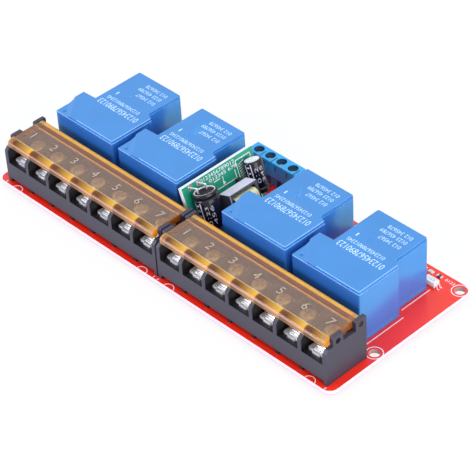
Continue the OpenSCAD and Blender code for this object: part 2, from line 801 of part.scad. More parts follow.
optocoupler_bodies();
optocoupler_leads();
driver_transistors();
transistor_leads();
flyback_diodes();
diode_leads();
chip_resistors();
status_leds();
chip_ends();
solder_joints();
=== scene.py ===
import math

import bmesh
import bpy
from mathutils import Matrix, Vector


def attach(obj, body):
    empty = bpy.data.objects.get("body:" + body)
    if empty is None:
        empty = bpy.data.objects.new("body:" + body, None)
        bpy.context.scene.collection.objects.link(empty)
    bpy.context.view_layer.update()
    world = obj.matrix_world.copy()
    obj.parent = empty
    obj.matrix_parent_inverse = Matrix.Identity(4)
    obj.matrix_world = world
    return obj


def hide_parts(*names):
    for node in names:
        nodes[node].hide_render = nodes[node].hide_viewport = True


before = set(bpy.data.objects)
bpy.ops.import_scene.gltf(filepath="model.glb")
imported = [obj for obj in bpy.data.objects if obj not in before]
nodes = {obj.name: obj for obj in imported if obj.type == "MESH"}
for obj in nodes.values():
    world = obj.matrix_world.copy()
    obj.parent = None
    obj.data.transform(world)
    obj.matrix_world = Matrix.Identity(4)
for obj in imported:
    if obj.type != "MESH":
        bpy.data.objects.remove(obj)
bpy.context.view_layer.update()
mm = 0.001
toMetres = Matrix.Scale(mm, 4)
print("frame loaded:", len(nodes), "nodes")


# the photograph's point of view, lengths in mm
cameraView = {
    "azimuth": 48.11,
    "elevation": 39.36,
    "roll": -3.6,
    "distance": 666.83,
    "target": (-10.17, -10.19, 3.4),
    "shiftRight": 17.22,
    "shiftUp": -0.81,
    "focalPixels": 2124.37,
    "imageWidth": 470,
}


def addCamera():
    azimuth, elevation, roll = (math.radians(cameraView[k]) for k in ("azimuth", "elevation", "roll"))
    back = Vector((math.cos(elevation) * math.sin(azimuth),
                   -math.cos(elevation) * math.cos(azimuth),
                   math.sin(elevation)))
    right = (-back).cross(Vector((0, 0, 1))).normalized()
    up = right.cross(-back)
    turnedRight = math.cos(roll) * right + math.sin(roll) * up
    turnedUp = math.cos(roll) * up - math.sin(roll) * right
    place = (Vector(cameraView["target"]) + turnedRight * cameraView["shiftRight"]
             + turnedUp * cameraView["shiftUp"] + back * cameraView["distance"])
    lens = bpy.data.cameras.new("camera")
    lens.sensor_width = 36
    lens.lens = cameraView["focalPixels"] / cameraView["imageWidth"] * 36
    lens.clip_start = 0.01
    camera = bpy.data.objects.new("camera", lens)
    turn = Matrix((turnedRight, turnedUp, back)).transposed().to_4x4()
    camera.matrix_world = Matrix.Translation(place * mm) @ turn
    bpy.context.scene.collection.objects.link(camera)
    bpy.context.scene.camera = camera


# short ways to build a node tree
def addNode(tree, kind, inputs=None, **settings):
    node = tree.nodes.new("ShaderNode" + kind)
    for name, value in settings.items():
        setattr(node, name, value)
    for name, value in (inputs or {}).items():
        if isinstance(value, bpy.types.NodeSocket):
            tree.links.new(value, node.inputs[name])
        else:
            node.inputs[name].default_value = value
    return node


def startMaterial(name, **sockets):
    material = bpy.data.materials.new(name)
    material.use_nodes = True
    tree = material.node_tree
    shader = tree.nodes["Principled BSDF"]
    for socket, value in sockets.items():
        shader.inputs[socket.replace("_", " ")].default_value = value
    return material, tree, shader


def calculate(tree, operation, first, second=0.0):
    return addNode(tree, "Math", {0: first, 1: second}, operation=operation).outputs[0]


def objectPlace(tree, stretch=(1, 1, 1)):
    place = addNode(tree, "TexCoord").outputs["Object"]
    return addNode(tree, "Mapping", {"Vector": place, "Scale": stretch}).outputs["Vector"]


def placeInMm(tree):
    return addNode(tree, "SeparateXYZ", {"Vector": objectPlace(tree, (1 / mm, 1 / mm, 1 / mm))}).outputs


def hypotenuse(tree, first, second):
    squares = [calculate(tree, "MULTIPLY", side, side) for side in (first, second)]
    return calculate(tree, "SQRT", calculate(tree, "ADD", *squares))


def noiseFactor(tree, scale, detail=2.0, stretch=(1, 1, 1)):
    return addNode(tree, "TexNoise", {"Vector": objectPlace(tree, stretch), "Scale": scale,
                                      "Detail": detail}).outputs["Fac"]


def remap(tree, value, low, high, fromLow=0.3, fromHigh=0.7):
    return addNode(tree, "MapRange", {"Value": value, "From Min": fromLow, "From Max": fromHigh,
                                      "To Min": low, "To Max": high}).outputs["Result"]


def mixColour(tree, factor, first, second):
    mix = addNode(tree, "Mix", data_type="RGBA")
    for index, value in ((0, factor), (6, first), (7, second)):
        if isinstance(value, bpy.types.NodeSocket):
            tree.links.new(value, mix.inputs[index])
        else:
            mix.inputs[index].default_value = value
    return mix.outputs[2]


def layOver(tree, amount, colour):
    # lays a colour over what the base colour already gets
    base = tree.nodes["Principled BSDF"].inputs["Base Color"]
    tree.links.new(mixColour(tree, amount, base.links[0].from_socket, colour), base)


def shade(colour, factor):
    return tuple(min(1.0, c * factor) for c in colour) + (1.0,)


def surfaceNoise(tree, shader, colour, roughness, patches, grain, stretch=(1, 1, 1)):
    # slow changes of colour, and a fine grain in roughness and height
    slow = noiseFactor(tree, patches["scale"])
    tint = mixColour(tree, remap(tree, slow, 0, 1), shade(colour, 1 - patches["amount"]),
                     shade(colour, 1 + patches["amount"]))
    tree.links.new(tint, shader.inputs["Base Color"])
    fine = noiseFactor(tree, grain["scale"], 3.0, stretch)
    tree.links.new(remap(tree, fine, roughness - grain["spread"], roughness + grain["spread"]),
                   shader.inputs["Roughness"])
    bump = addNode(tree, "Bump", {"Height": fine, "Strength": grain["strength"],
                                  "Distance": grain["depth"]})
    tree.links.new(bump.outputs["Normal"], shader.inputs["Normal"])
    return tint


# colours are linear; grain is the strength of the fine bumps
plasticLooks = {
    "housing plastic": {"colour": (0.036, 0.033, 0.052), "roughness": 0.45, "grain": 0.15, "level": 0.5},
    "relay plastic": {"colour": (0.032, 0.170, 0.545), "roughness": 0.22, "grain": 0.05, "level": 1.0,
                      "index": 1.76, "tint": (0.40, 1.00, 0.90)},
    # relay edge highlight is a painted highlight on the relays' rounded edges and along their top edges
    "relay edge highlight": {"colour": (0.330, 0.620, 0.960), "roughness": 0.25, "grain": 0.05, "level": 0.8},
    "relay base": {"colour": (0.020, 0.020, 0.024), "roughness": 0.50, "grain": 0.20, "level": 0.5},
    "terminal plastic": {"colour": (0.030, 0.400, 0.760), "roughness": 0.28, "grain": 0.10, "level": 0.5},
    "bobbin plastic": {"colour": (0.016, 0.015, 0.013), "roughness": 0.40, "grain": 0.20, "level": 0.5},
    "chip plastic": {"colour": (0.018, 0.018, 0.020), "roughness": 0.50, "grain": 0.35, "level": 0.5},
    "coupler plastic": {"colour": (0.800, 0.790, 0.740), "roughness": 0.40, "grain": 0.20, "level": 0.5},
    "sleeve film": {"colour": (0.009, 0.007, 0.014), "roughness": 0.20, "grain": 0.05, "level": 0.35},
    "bung rubber": {"colour": (0.012, 0.010, 0.012), "roughness": 0.60, "grain": 0.40, "level": 0.2},
    "winding tape": {"colour": (0.850, 0.800, 0.420), "roughness": 0.30, "grain": 0.08, "level": 0.5},
    "core tape and highlight": {"colour": (0.700, 0.680, 0.760), "roughness": 0.34, "grain": 0.10, "level": 0.5},
    "resistor body": {"colour": (0.014, 0.014, 0.016), "roughness": 0.30, "grain": 0.10, "level": 0.5},
    "white ink": {"colour": (0.860, 0.840, 0.830), "roughness": 0.50, "grain": 0.10, "level": 0.4},
    "relay ink": {"colour": (0.520, 0.740, 0.930), "roughness": 0.40, "grain": 0.10, "level": 0.5},
    "sleeve ink": {"colour": (0.600, 0.590, 0.640), "roughness": 0.40, "grain": 0.10, "level": 0.5},
    "chip ink": {"colour": (0.420, 0.420, 0.420), "roughness": 0.50, "grain": 0.10, "level": 0.4},
    "mask over copper": {"colour": (0.700, 0.030, 0.020), "roughness": 0.25, "grain": 0.10, "level": 0.5},
}

# share is how far the surface acts as bare metal
metalLooks = {
    "zinc plate": {"colour": (0.920, 0.910, 0.890), "roughness": 0.24, "grain": 0.10, "share": 0.60},
    "tinned contact": {"colour": (0.960, 0.950, 0.940), "roughness": 0.24, "grain": 0.05, "share": 0.50},
    "clamp plate": {"colour": (0.960, 0.950, 0.940), "roughness": 0.28, "grain": 0.05, "share": 0.45,
                    "ribs": 0.8, "grooveShade": (0.160, 0.120, 0.090)},
    "bright tin": {"colour": (0.880, 0.880, 0.890), "roughness": 0.18, "grain": 0.10, "share": 0.70},
    "solder": {"colour": (0.720, 0.730, 0.750), "roughness": 0.24, "grain": 0.40, "share": 0.85},
    "can aluminium": {"colour": (0.900, 0.900, 0.920), "roughness": 0.30, "grain": 0.10, "share": 0.25},
    "core ferrite": {"colour": (0.130, 0.125, 0.140), "roughness": 0.34, "grain": 0.50, "share": 0.20},
}

looks = {}


def makePlastics():
    for name, look in plasticLooks.items():
        material, tree, shader = startMaterial(name, Specular_IOR_Level=look["level"],
                                               IOR=look.get("index", 1.5),
                                               Specular_Tint=(*look.get("tint", (1, 1, 1)), 1))
        surfaceNoise(tree, shader, look["colour"], look["roughness"],
                     {"scale": 90, "amount": 0.05},
                     {"scale": 9000, "spread": 0.05, "strength": look["grain"], "depth": 0.00002})
        looks[name] = material
    paintBayShade(looks["housing plastic"])
    paintHoleShade(looks["terminal plastic"])


# painted shade darkens the bays between the partitions: x out from the middle, y and z, in mm in the part's
# frame
bayShadeLook = {
    "middle": 0.5,
    "across": (1.75, 70.35),
    "front": (-29.5, -29.3),
    "rear": -13.0,
    "top": 16.2,
    "depth": 0.93,
    "colour": (0.004, 0.003, 0.004, 1),
}


def paintBayShade(material):
    look = bayShadeLook
    tree = material.node_tree
    split = placeInMm(tree)
    outward = calculate(tree, "ABSOLUTE", calculate(tree, "SUBTRACT", split["X"], look["middle"]))
    inside = calculate(tree, "MULTIPLY", calculate(tree, "GREATER_THAN", outward, look["across"][0]),
                       calculate(tree, "LESS_THAN", outward, look["across"][1]))
    inside = calculate(tree, "MULTIPLY", inside, remap(tree, split["Y"], 0, 1, *look["front"]))
    inside = calculate(tree, "MULTIPLY", inside, calculate(tree, "LESS_THAN", split["Y"], look["rear"]))
    inside = calculate(tree, "MULTIPLY", inside, calculate(tree, "LESS_THAN", split["Z"], look["top"]))
    # the bays are laid over with a near-black painted shade
    layOver(tree, calculate(tree, "MULTIPLY", inside, look["depth"]), look["colour"])


# painted shade darkens the screw holes of the signal terminal: the first one's middle and the rest a pitch
# apart
holeShadeLook = {
    "first": (-12.94, 28.1),
    "pitch": 5.08,
    "radius": 1.78,
    "below": 13.15,
    "depth": 0.85,
    "colour": (0.006, 0.016, 0.060, 1),
}


def paintHoleShade(material):
    look = holeShadeLook
    tree = material.node_tree
    split = placeInMm(tree)
    along = calculate(tree, "SUBTRACT", split["X"], look["first"][0])
    ways = calculate(tree, "DIVIDE", along, look["pitch"])
    # 10.5 keeps the fraction positive and puts its middle on each hole
    step = calculate(tree, "SUBTRACT", calculate(tree, "FRACT", calculate(tree, "ADD", ways, 10.5)), 0.5)
    aside = calculate(tree, "MULTIPLY", step, look["pitch"])
    deep = calculate(tree, "SUBTRACT", split["Y"], look["first"][1])
    distance = hypotenuse(tree, aside, deep)
    inside = calculate(tree, "MULTIPLY", calculate(tree, "LESS_THAN", distance, look["radius"]),
                       calculate(tree, "LESS_THAN", split["Z"], look["below"]))
    # the holes below the top are laid over with a dark blue painted shade
    layOver(tree, calculate(tree, "MULTIPLY", inside, look["depth"]), look["colour"])


def makeMetals():
    for name, look in metalLooks.items():
        material, tree, shader = startMaterial(name, Metallic=look["share"])
        tint = surfaceNoise(tree, shader, look["colour"], look["roughness"],
                            {"scale": 400, "amount": 0.08},
                            {"scale": 5000, "spread": 0.08, "strength": look["grain"], "depth": 0.00002},
                            stretch=(1, 0.25, 1))
        # painted shade: dark stripes across the clamp plate stand in for the shade in its grooves
        if "ribs" in look:
            across = addNode(tree, "SeparateXYZ", {"Vector": objectPlace(tree)}).outputs["Y"]
            turns = calculate(tree, "MULTIPLY", across, 2 * math.pi / look["ribs"] / mm)
            groove = remap(tree, calculate(tree, "SINE", turns), 0, 0.8, 0.45, 0.8)
            grooveShaded = mixColour(tree, groove, tint, (*look["grooveShade"], 1))
            tree.links.new(grooveShaded, shader.inputs["Base Color"])
        looks[name] = material


boardLooks = {
    "red board": {"mask": (0.930, 0.024, 0.008), "edge": (0.900, 0.720, 0.690), "lean": 0,
                  "rim": (0.560, 0.380, 0.620), "rimZ": 2.05,
                  "wall": (0.520, 0.300, 0.260), "wallRadius": 1.9, "holes": (72.5, 9.15, 18.8)},
    "green board": {"mask": (0.010, 0.300, 0.175), "edge": (0.880, 0.890, 0.860), "lean": 110},
}

boardGrain = {
    # noise scale, and the darkest and lightest shade that it gives
    "patches": (70, 0.94, 1.06),
    "fibres": (2600, 0.93, 1.05),
    # noise scale, strength and depth
    "bumps": (1500, 0.15, 0.00002),
    "edgeRoughness": 0.60,
    "maskRoughness": 0.30,
    "broadAbove": 0.6,
}


def makeBoards():
    # solder mask on the broad faces, pale cut laminate on the narrow ones
    for name, look in boardLooks.items():
        material, tree, shader = startMaterial(name, Coat_Weight=0.35, Coat_Roughness=0.10)
        normal = addNode(tree, "TexCoord").outputs["Normal"]
        level = addNode(tree, "VectorRotate", {"Vector": normal, "Axis": (0, 1, 0),
                                               "Angle": math.radians(look["lean"])}).outputs["Vector"]
        upright = addNode(tree, "SeparateXYZ", {"Vector": level}).outputs["Z"]
        steep = calculate(tree, "ABSOLUTE", upright)
        broad = calculate(tree, "GREATER_THAN", steep, boardGrain["broadAbove"])
        scale, dark, light = boardGrain["patches"]
        mask = mixColour(tree, remap(tree, noiseFactor(tree, scale), 0, 1),
                         shade(look["mask"], dark), shade(look["mask"], light))
        scale, dark, light = boardGrain["fibres"]
        edge = mixColour(tree, remap(tree, noiseFactor(tree, scale, 3.0, (1, 1, 6)), 0, 1),
                         shade(look["edge"], dark), shade(look["edge"], light))
        colour = mixColour(tree, broad, edge, mask)
        # painted shade: a purple band on the cut sides along the board's lower edge
        if "rimZ" in look:
            height = addNode(tree, "SeparateXYZ", {"Vector": objectPlace(tree)}).outputs["Z"]
            low = calculate(tree, "LESS_THAN", height, look["rimZ"] * mm)
            side = calculate(tree, "MULTIPLY", low, calculate(tree, "SUBTRACT", 1.0, broad))
            colour = mixColour(tree, side, colour, (*look["rim"], 1))
            # painted shade on the hole walls: the four holes lie at the same distances from the board's
            # middle lines
            outward, middle, deep = look["holes"]
            split = placeInMm(tree)
            aside = calculate(tree, "SUBTRACT", calculate(tree, "ABSOLUTE", split["X"]), outward)
            along = calculate(tree, "ABSOLUTE", calculate(tree, "SUBTRACT", split["Y"], middle))
            along = calculate(tree, "SUBTRACT", along, deep)
            distance = hypotenuse(tree, aside, along)
            wall = calculate(tree, "MULTIPLY", calculate(tree, "LESS_THAN", distance, look["wallRadius"]),
                             calculate(tree, "SUBTRACT", 1.0, broad))
            colour = mixColour(tree, wall, colour, (*look["wall"], 1))
        tree.links.new(colour, shader.inputs["Base Color"])
        roughness = remap(tree, broad, boardGrain["edgeRoughness"], boardGrain["maskRoughness"], 0, 1)
        tree.links.new(roughness, shader.inputs["Roughness"])
        scale, strength, depth = boardGrain["bumps"]
        bump = addNode(tree, "Bump", {"Height": noiseFactor(tree, scale, 3.0), "Strength": strength,
                                      "Distance": depth})
        tree.links.new(bump.outputs["Normal"], shader.inputs["Normal"])
        looks[name] = material


# stops of haze and painted light run from the lip to the roll: y in mm in the part's frame, colour, how
# much it hides; the bright and dark lengths on the lip, the thin light lines and the bright roll are
# painted light
coverLook = {
    "throughColour": (0.958, 0.690, 0.030),
    "density": 600.0,
    "roughness": 0.05,
    "index": 1.5,
    "hazeRoughness": 0.22,
    "hazeSpecular": 0.3,
    "milk": 0.3,
    "clouds": (260, 0.92, 1.08),
    "rise": (0.22, 0.90),
    "front": -28.92,
    "rear": -13.2,
    "brightStops": [
        (-28.90, (0.700, 0.290, 0.025), 0.90), (-28.80, (0.950, 0.640, 0.440), 0.92),
        (-28.74, (0.950, 0.640, 0.440), 0.90), (-28.66, (0.850, 0.420, 0.040), 0.86),
        (-28.2, (1.000, 0.550, 0.050), 0.92), (-26.75, (1.000, 0.640, 0.110), 0.92),
        (-26.6, (1.000, 0.840, 0.420), 0.95),
    ],
    "darkStops": [
        (-28.90, (0.170, 0.060, 0.012), 0.86), (-28.80, (0.850, 0.520, 0.340), 0.88),
        (-28.74, (0.850, 0.520, 0.340), 0.86), (-28.66, (0.260, 0.095, 0.020), 0.80),
        (-28.2, (0.140, 0.050, 0.012), 0.76), (-26.75, (0.260, 0.100, 0.022), 0.76),
        (-26.6, (0.950, 0.640, 0.260), 0.85),
    ],
    "plateStops": [
        (-26.45, (0.950, 0.640, 0.280), 0.70), (-26.35, (0.500, 0.390, 0.320), 0.31),
        (-17.8, (0.500, 0.380, 0.330), 0.31), (-17.65, (0.980, 0.560, 0.160), 0.80),
        (-17.45, (0.980, 0.560, 0.160), 0.80), (-17.3, (0.300, 0.200, 0.150), 0.50),
        (-15.9, (0.300, 0.200, 0.150), 0.50), (-15.5, (0.950, 0.480, 0.040), 0.92),
        (-15.1, (1.000, 0.610, 0.110), 0.94), (-14.2, (1.000, 0.500, 0.040), 0.92),
        (-13.3, (0.850, 0.360, 0.030), 0.85),
    ],
    "bayStarts": (-69.1, 3.0),
    "pitch": 10.0,
    "middle": 0.5,
    "innerRim": (3.5, 3.9),
    "outerRim": (68.2, 68.6),
    "rimHaze": ((0.640, 0.360, 0.150), 0.36),
    "innerEnd": 1.76,
    "outerEnd": 70.34,
    "endGlow": ((1.000, 0.400, 0.030), 0.85),
    "lipBehind": -26.0,
    "endPlateShade": ((0.360, 0.110, 0.016), 0.85),
    "pipsBehind": -17.0,
    "pipShade": ((0.030, 0.016, 0.010), 0.90),
}


def hazeAndLightRamp(tree, place, stops):
    ramp = addNode(tree, "ValToRGB", {"Fac": place})
    elements = ramp.color_ramp.elements
    length = coverLook["rear"] - coverLook["front"]
    for index, (y, colour, amount) in enumerate(stops):
        position = (y - coverLook["front"]) / length
        element = elements[index] if index < 2 else elements.new(position)
        element.position = position
        element.color = (*colour, amount)
    return ramp


def makeCovers():
    look = coverLook
    material, tree, shader = startMaterial("amber cover", Transmission_Weight=1.0, IOR=look["index"],
                                           Roughness=look["roughness"])
    shader.inputs["Base Color"].default_value = (1, 1, 1, 1)
    split = placeInMm(tree)
    along, across = split["X"], split["Y"]

    # painted light: the lip brightens along each bay up to the next partition
    onRight = calculate(tree, "GREATER_THAN", along, look["middle"])
    start = remap(tree, onRight, *look["bayStarts"], 0, 1)
    bays = calculate(tree, "DIVIDE", calculate(tree, "SUBTRACT", along, start), look["pitch"])
    step = calculate(tree, "FRACT", calculate(tree, "ADD", bays, 10.0))
    rise = remap(tree, step, 0, 1, *look["rise"])
    bright = calculate(tree, "MULTIPLY", rise, remap(tree, step, 1, 0.2, 0.94, 1.0))
    place = remap(tree, across, 0, 1, look["front"], look["rear"])
    brightRamp = hazeAndLightRamp(tree, place, look["brightStops"] + look["plateStops"])
    darkRamp = hazeAndLightRamp(tree, place, look["darkStops"] + look["plateStops"])
    colour = mixColour(tree, bright, darkRamp.outputs["Color"], brightRamp.outputs["Color"])
    amount = addNode(tree, "Mix", {0: bright, 2: darkRamp.outputs["Alpha"], 3: brightRamp.outputs["Alpha"]},
                     data_type="FLOAT").outputs[0]

    # the two end rims get more haze, the cut end faces a painted glow and the end plate and pips painted
    # shade, then slow clouds over all of it
    outward = calculate(tree, "ABSOLUTE", calculate(tree, "SUBTRACT", along, look["middle"]))
    rim = calculate(tree, "ADD", remap(tree, outward, 1, 0, *look["innerRim"]),
                    remap(tree, outward, 0, 1, *look["outerRim"]))
    rimColour, rimAmount = look["rimHaze"]
    colour = mixColour(tree, calculate(tree, "MULTIPLY", rim, 0.6), colour, (*rimColour, 1))
    amount = calculate(tree, "MAXIMUM", amount, calculate(tree, "MULTIPLY", rim, rimAmount))
    end = calculate(tree, "MAXIMUM", calculate(tree, "LESS_THAN", outward, look["innerEnd"]),
                    calculate(tree, "GREATER_THAN", outward, look["outerEnd"]))
    for start, (paintColour, paintAmount) in ((look["front"] - 1, look["endGlow"]),
                                            (look["lipBehind"], look["endPlateShade"]),
                                            (look["pipsBehind"], look["pipShade"])):
        share = calculate(tree, "MULTIPLY", end, calculate(tree, "GREATER_THAN", across, start))
        colour = mixColour(tree, share, colour, (*paintColour, 1))
        amount = calculate(tree, "MAXIMUM", amount, calculate(tree, "MULTIPLY", share, paintAmount))
    cloudScale, thin, thick = look["clouds"]
    amount = calculate(tree, "MULTIPLY", amount, remap(tree, noiseFactor(tree, cloudScale), thin, thick))

    # the haze layer carries the painted light and shade of the stops above
    haze = addNode(tree, "BsdfPrincipled", {"Base Color": colour, "Roughness": look["hazeRoughness"],
                                            "Specular IOR Level": look["hazeSpecular"]})
    through = addNode(tree, "BsdfTranslucent", {"Color": colour})
    milky = addNode(tree, "MixShader", {0: look["milk"], 1: haze.outputs[0], 2: through.outputs[0]})
    both = addNode(tree, "MixShader", {0: amount, 1: shader.outputs[0], 2: milky.outputs[0]})
    depth = addNode(tree, "VolumeAbsorption", {"Color": (*look["throughColour"], 1),
                                               "Density": look["density"]})
    output = tree.nodes["Material Output"]
    tree.links.new(both.outputs[0], output.inputs["Surface"])
    tree.links.new(depth.outputs["Volume"], output.inputs["Volume"])
    looks["amber cover"] = material


clearLooks = {
    # colour, share of light let through, roughness and strength of the patches
    "amber digits": ((0.330, 0.200, 0.085), 0.30, 0.25, 0.06),
    "light lens": ((0.960, 0.930, 0.760), 0.40, 0.25, 0.06),
    # amber edge highlight is a painted highlight on the covers' rounded edges
    "amber edge highlight": ((0.950, 0.560, 0.240), 0.35, 0.20, 0.10),
}


def makeClearPlastics():
    for name, (colour, share, roughness, patches) in clearLooks.items():
        material, tree, shader = startMaterial(name, Transmission_Weight=share, IOR=1.5)
        surfaceNoise(tree, shader, colour, roughness, {"scale": 400, "amount": patches},
                     {"scale": 9000, "spread": 0.05, "strength": 0.1, "depth": 0.00002})
        looks[name] = material


def finishPiece(name, bm, look, body="board", replaced=(), smoothAngle=35, inMetres=False):
    # bm is in mm in the part's frame unless inMetres
    if not inMetres:
        bm.transform(toMetres)
    mesh = bpy.data.meshes.new(name)
    bm.to_mesh(mesh)
    bm.free()
    mesh.shade_smooth()
    mesh.set_sharp_from_angle(angle=math.radians(smoothAngle))
    mesh.materials.append(looks[look])
    piece = bpy.data.objects.new(name, mesh)
    bpy.context.scene.collection.objects.link(piece)
    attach(piece, body)
    if replaced:
        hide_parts(*replaced)
    return piece


# the rounded edges of these looks take a lighter painted highlight
edgeHighlightLooks = {"relay plastic": "relay edge highlight", "amber cover": "amber edge highlight"}


def soften(node, name, look, width, body="board", segments=2):
    # a merged copy of a node with its sharp edges rounded
    bm = bmesh.new()
    bm.from_mesh(nodes[node].data)
    bmesh.ops.remove_doubles(bm, verts=bm.verts, dist=0.002 * mm)
    bmesh.ops.dissolve_limit(bm, angle_limit=math.radians(0.8), verts=bm.verts, edges=bm.edges)
    piece = finishPiece(name, bm, look, body, [node], inMetres=True)
    bevel = piece.modifiers.new("rounded edges", "BEVEL")
    bevel.width = width * mm
    bevel.segments = segments
    bevel.limit_method = "ANGLE"
    bevel.angle_limit = math.radians(32)
    bevel.use_clamp_overlap = True
    bevel.harden_normals = True
    # the bevel faces get the painted highlight
    if look in edgeHighlightLooks:
        piece.data.materials.append(looks[edgeHighlightLooks[look]])
        bevel.material = 1
    return piece


softened = [
    # nodes, look, slot, radius of the edges in mm
    (["main_board"], "red board", "board_red", 0.04),
    (["barrier_housing_left", "barrier_housing_right"], "housing plastic", "housing_grey", 0.16),
    (["barrier_contacts_left", "barrier_contacts_right"], "tinned contact", "tinned_brass", 0.08),
    (["barrier_clamps_left", "barrier_clamps_right"], "clamp plate", "zinc_steel", 0.06),
    (["barrier_washers_left", "barrier_washers_right"], "zinc plate", "zinc_steel", 0.12),
    (["barrier_screws_left", "barrier_screws_right"], "zinc plate", "zinc_steel", 0.1),
    (["relay_case_" + n for n in "1234"], "relay plastic", "relay_blue", 0.22),
    (["relay_base_" + n for n in "1234"], "relay base", "base_black", 0.1),
    (["relay_pins"], "bright tin", "lead_tin", 0.1),
    (["signal_housing"], "terminal plastic", "terminal_blue", 0.12),
    (["signal_screws", "signal_clamps"], "zinc plate", "zinc_steel", 0.08),
    (["signal_pins"], "bright tin", "lead_tin", 0.08),
    (["supply_board"], "green board", "board_green", 0.08),
    (["supply_pins"], "bright tin", "lead_tin", 0.06),
    (["input_capacitor_leads", "output_capacitor_leads"], "bright tin", "lead_tin", 0.0),
    (["transformer_core"], "core ferrite", "ferrite", 0.12),
    (["transformer_bobbin"], "bobbin plastic", "moulded_black", 0.1),
    (["transformer_winding"], "winding tape", "coil_tape", 0.2),
    (["transformer_pins"], "bright tin", "lead_tin", 0.05),
    (["supply_controller"], "chip plastic", "moulded_black", 0.12),
    (["supply_rectifier"], "chip plastic", "moulded_black", 0.14),
    (["supply_chip_leads"], "bright tin", "lead_tin", 0.04),
    (["optocoupler_bodies"], "coupler plastic", "opto_white", 0.08),
    (["optocoupler_leads"], "bright tin", "lead_tin", 0.05),
    (["driver_transistors"], "chip plastic", "moulded_black", 0.08),
    (["transistor_leads"], "bright tin", "lead_tin", 0.03),
    (["flyback_diodes"], "chip plastic", "moulded_black", 0.15),
    (["diode_leads"], "bright tin", "lead_tin", 0.05),
    (["chip_resistors"], "resistor body", "chip_black", 0.05),
    (["status_leds"], "light lens", "led_clear", 0.12),
    (["chip_ends"], "bright tin", "lead_tin", 0.06),
    (["solder_joints"], "solder", "solder", 0.1),
]
shortNames = {
    "optocoupler_bodies": "couplerBodies",
    "optocoupler_leads": "couplerLeads",
    "status_leds": "statusLights",
}


def pieceName(node):
    first, *rest = node.split("_")
    return shortNames.get(node, first + "".join(word.capitalize() for word in rest))


def softenNodes():
    for group, look, slotName, radius in softened:
        for node in group:
            if radius > 0:
                soften(node, pieceName(node), look, radius)
            else:
                nodes[node].data.materials.clear()
                nodes[node].data.materials.append(looks[look])
    for side in ("left", "right"):
        cover = "barrier_cover_" + side
        soften(cover, pieceName(cover), "amber cover", 0.12, side + "_cover")


# shapes are made in mm in a bmesh of their own, placed, and joined to the piece
def join(bm, part, place):
    part.transform(place)
    mesh = bpy.data.meshes.new("part")
    part.to_mesh(mesh)
    part.free()
    bm.from_mesh(mesh)
    bpy.data.meshes.remove(mesh)


def addBar(bm, start, end, width, height, place=Matrix()):
    start, end = Vector((*start, 0)), Vector((*end, 0))
    run = end - start
    turn = Matrix.Rotation(math.atan2(run.y, run.x), 4, "Z")
    size = Matrix.Diagonal((run.length, width, height, 1))
    middle = Matrix.Translation((start + end) / 2 + Vector((0, 0, height / 2)))
    bmesh.ops.create_cube(bm, size=1, matrix=place @ middle @ turn @ size)


def addLine(bm, points, width, height, place=Matrix()):
    for start, end in zip(points, points[1:]):
        addBar(bm, start, end, width, height, place)


def addTurned(bm, profile, place=Matrix(), first=0, last=360, steps=48, closed=False):
    # the profile's points are radius and height; they turn about Z from first to last degrees
    part = bmesh.new()
    verts = [bmesh.ops.create_vert(part, co=(r, 0, z))["vert"][0] for r, z in profile]
    ends = verts[1:] + (verts[:1] if closed else [])
    edges = [part.edges.new(pair) for pair in zip(verts, ends)]
    full = abs(last - first) >= 360
    geometry = verts + edges
    if closed and not full:
        geometry.append(bmesh.ops.contextual_create(part, geom=edges)["faces"][0])
    bmesh.ops.transform(part, matrix=Matrix.Rotation(math.radians(first), 4, "Z"), verts=verts)
    bmesh.ops.spin(part, geom=geometry, cent=(0, 0, 0), axis=(0, 0, 1), angle=math.radians(last - first),
                   steps=steps, use_merge=full)
    bmesh.ops.remove_doubles(part, verts=part.verts, dist=0.0005)
    bmesh.ops.recalc_face_normals(part, faces=part.faces)
    join(bm, part, place)


def addRing(bm, centre, radius, width, height, place=Matrix(), first=0, last=360, steps=48):
    inner, outer = radius - width / 2, radius + width / 2
    addTurned(bm, [(inner, 0), (outer, 0), (outer, height), (inner, height)],
              place @ Matrix.Translation((*centre, 0)), first, last, steps, closed=True)


def addDigits(bm, words, middle, size, height, place=Matrix(), turn=0, weight=0.0):
    # size is the width and height that the digits fill; a width of 0 keeps their own proportions
    curve = bpy.data.curves.new("digits", "FONT")
    curve.body = words
    curve.resolution_u = 3
    curve.offset = weight
    holder = bpy.data.objects.new("digits", curve)
    bpy.context.scene.collection.objects.link(holder)
    bpy.context.view_layer.update()
    mesh = bpy.data.meshes.new_from_object(holder)
    part = bmesh.new()
    part.from_mesh(mesh)
    bpy.data.objects.remove(holder)
    bpy.data.meshes.remove(mesh)
    bpy.data.curves.remove(curve)
    bmesh.ops.remove_doubles(part, verts=part.verts, dist=0.0001)
    xs, ys = [v.co.x for v in part.verts], [v.co.y for v in part.verts]
    tall = size[1] / (max(ys) - min(ys))
    wide = size[0] / (max(xs) - min(xs)) if size[0] else tall
    part.transform(Matrix.Diagonal((wide, tall, 1, 1))
                   @ Matrix.Translation((-(max(xs) + min(xs)) / 2, -(max(ys) + min(ys)) / 2, 0)))
    bmesh.ops.solidify(part, geom=part.faces[:], thickness=-height)
    lowest = min(v.co.z for v in part.verts)
    part.transform(Matrix.Rotation(math.radians(turn), 4, "Z") @ Matrix.Translation((0, 0, -lowest)))
    join(bm, part, place @ Matrix.Translation((*middle, 0)))


# the left front corner of each relay
relayCorners = [(x, -10.2) for x in (-67.45, -37.45, 9.75, 39.75)]

